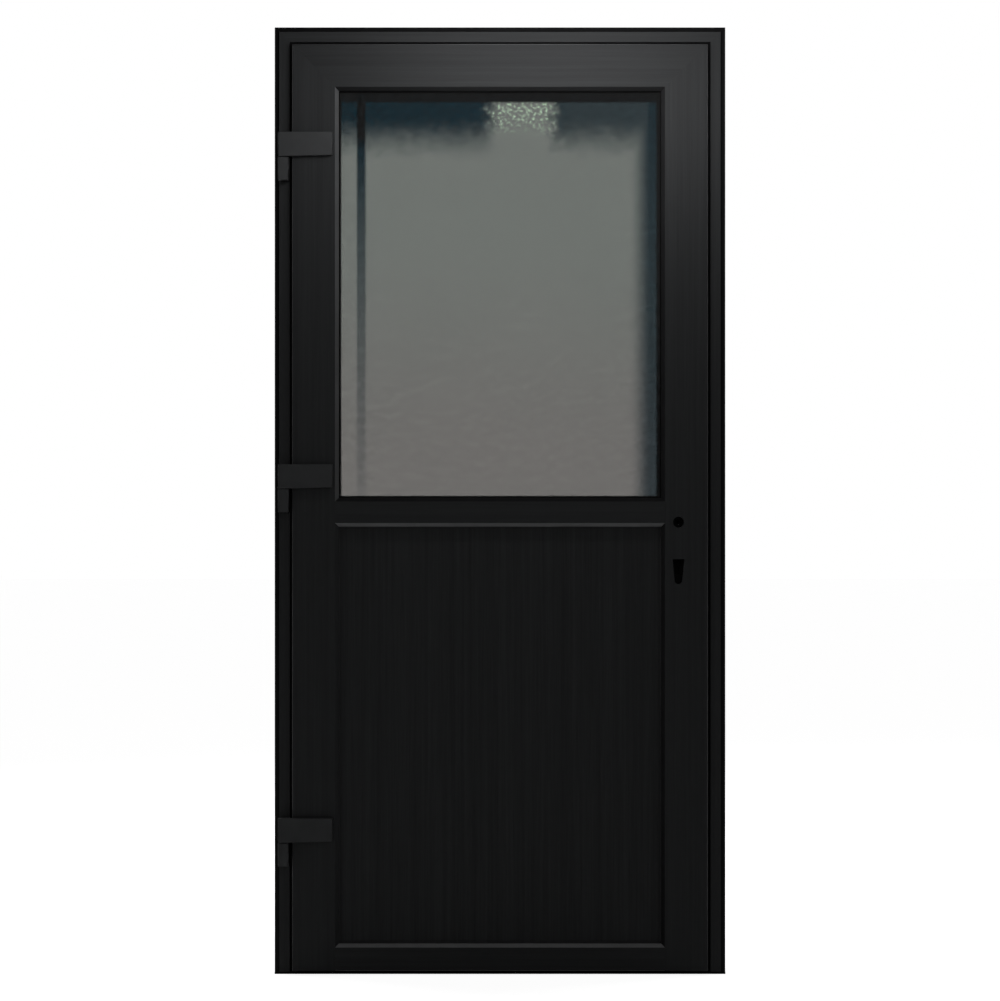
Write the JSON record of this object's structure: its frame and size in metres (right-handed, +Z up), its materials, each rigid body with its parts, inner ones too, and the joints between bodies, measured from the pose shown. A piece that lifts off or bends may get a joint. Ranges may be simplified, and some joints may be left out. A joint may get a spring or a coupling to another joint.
{
  "type": "half-glazed door with frame",
  "caption": "Half-glazed hinged door in its frame: obscure glass above, solid panel below, flag hinges on one side and a lock without furniture on the other.",
  "frame": {"origin": "on the floor, under the middle of the frame's width and depth", "axes": "+X towards the lock side as the picture shows it, +Y away from the viewer, +Z up; the leaf opens towards -Y"},
  "size_m": [1, 0.098, 2.1],
  "materials": {
    "profile": "foiled, fine grain",
    "bead": "foiled, fine grain",
    "panel": "foiled, upright grain",
    "reinforcement": "zinc coated",
    "threshold": "anodised dark",
    "seal": "matt",
    "glass": "obscure",
    "spacer": "mill finish",
    "hinge": "satin",
    "hinge_cover": "satin",
    "plain_steel": "satin",
    "blackened_steel": "blackened",
    "bush": "matt",
    "block": "matt"
  },
  "bodies": {
    "frame": {"frame_head": "profile", "frame_hinge_jamb": "profile", "frame_lock_jamb": "profile", "frame_head_steel": "reinforcement", "frame_hinge_jamb_steel": "reinforcement", "frame_lock_jamb_steel": "reinforcement", "frame_seal": "seal", "threshold": "threshold", "strike_plate": "plain_steel", "strike_screws": "plain_steel", "hinge_top_knuckle": "hinge", "hinge_middle_knuckle": "hinge", "hinge_bottom_knuckle": "hinge", "hinge_pins": "plain_steel"},
    "leaf": {"hinge_stile": "profile", "lock_stile": "profile", "top_rail": "profile", "mid_rail": "profile", "bottom_rail": "profile", "glass_bead_top": "bead", "glass_bead_bottom": "bead", "glass_bead_hinge_side": "bead", "glass_bead_lock_side": "bead", "panel_bead_top": "bead", "panel_bead_bottom": "bead", "panel_bead_hinge_side": "bead", "panel_bead_lock_side": "bead", "lower_panel": "panel", "hinge_stile_steel": "reinforcement", "lock_stile_steel": "reinforcement", "top_rail_steel": "reinforcement", "mid_rail_steel": "reinforcement", "bottom_rail_steel": "reinforcement", "leaf_seal": "seal", "glass_gasket": "seal", "panel_gasket": "seal", "front_pane": "glass", "rear_pane": "glass", "glass_spacer": "spacer", "hinge_top_flag": "hinge", "hinge_middle_flag": "hinge", "hinge_bottom_flag": "hinge", "hinge_top_cover": "hinge_cover", "hinge_middle_cover": "hinge_cover", "hinge_bottom_cover": "hinge_cover", "hinge_screws": "plain_steel", "faceplate": "plain_steel", "faceplate_screws": "plain_steel", "lock_case": "blackened_steel", "hinge_bushes": "bush", "setting_blocks": "block"},
    "follower": {"follower": "blackened_steel"},
    "latch": {"latch_bolt": "plain_steel"},
    "deadbolt": {"deadbolt": "plain_steel"}
  },
  "joints": [
    {"name": "door_swing", "type": "hinge", "parent": "frame", "child": "leaf", "pos_m": [-0.4785, -0.051, 1.05], "axis": [0, 0, -1], "range_deg": [0, 110]},
    {"name": "follower_turn", "type": "hinge", "parent": "leaf", "child": "follower", "pos_m": [0.395, -0.014, 1.002], "axis": [0, -1, 0], "range_deg": [0, 40]},
    {"name": "latch_slide", "type": "slide", "parent": "leaf", "child": "latch", "axis": [-1, 0, 0], "range_m": [0, 0.0105], "stiffness_N_per_m": 10, "springref_m": -0.02},
    {"name": "deadbolt_slide", "type": "slide", "parent": "leaf", "child": "deadbolt", "axis": [1, 0, 0], "range_m": [0, 0.02]}
  ],
  "couplings": [
    {"joint": "follower_turn", "follows": "latch_slide", "rad_per_m": 66.48}
  ]
}
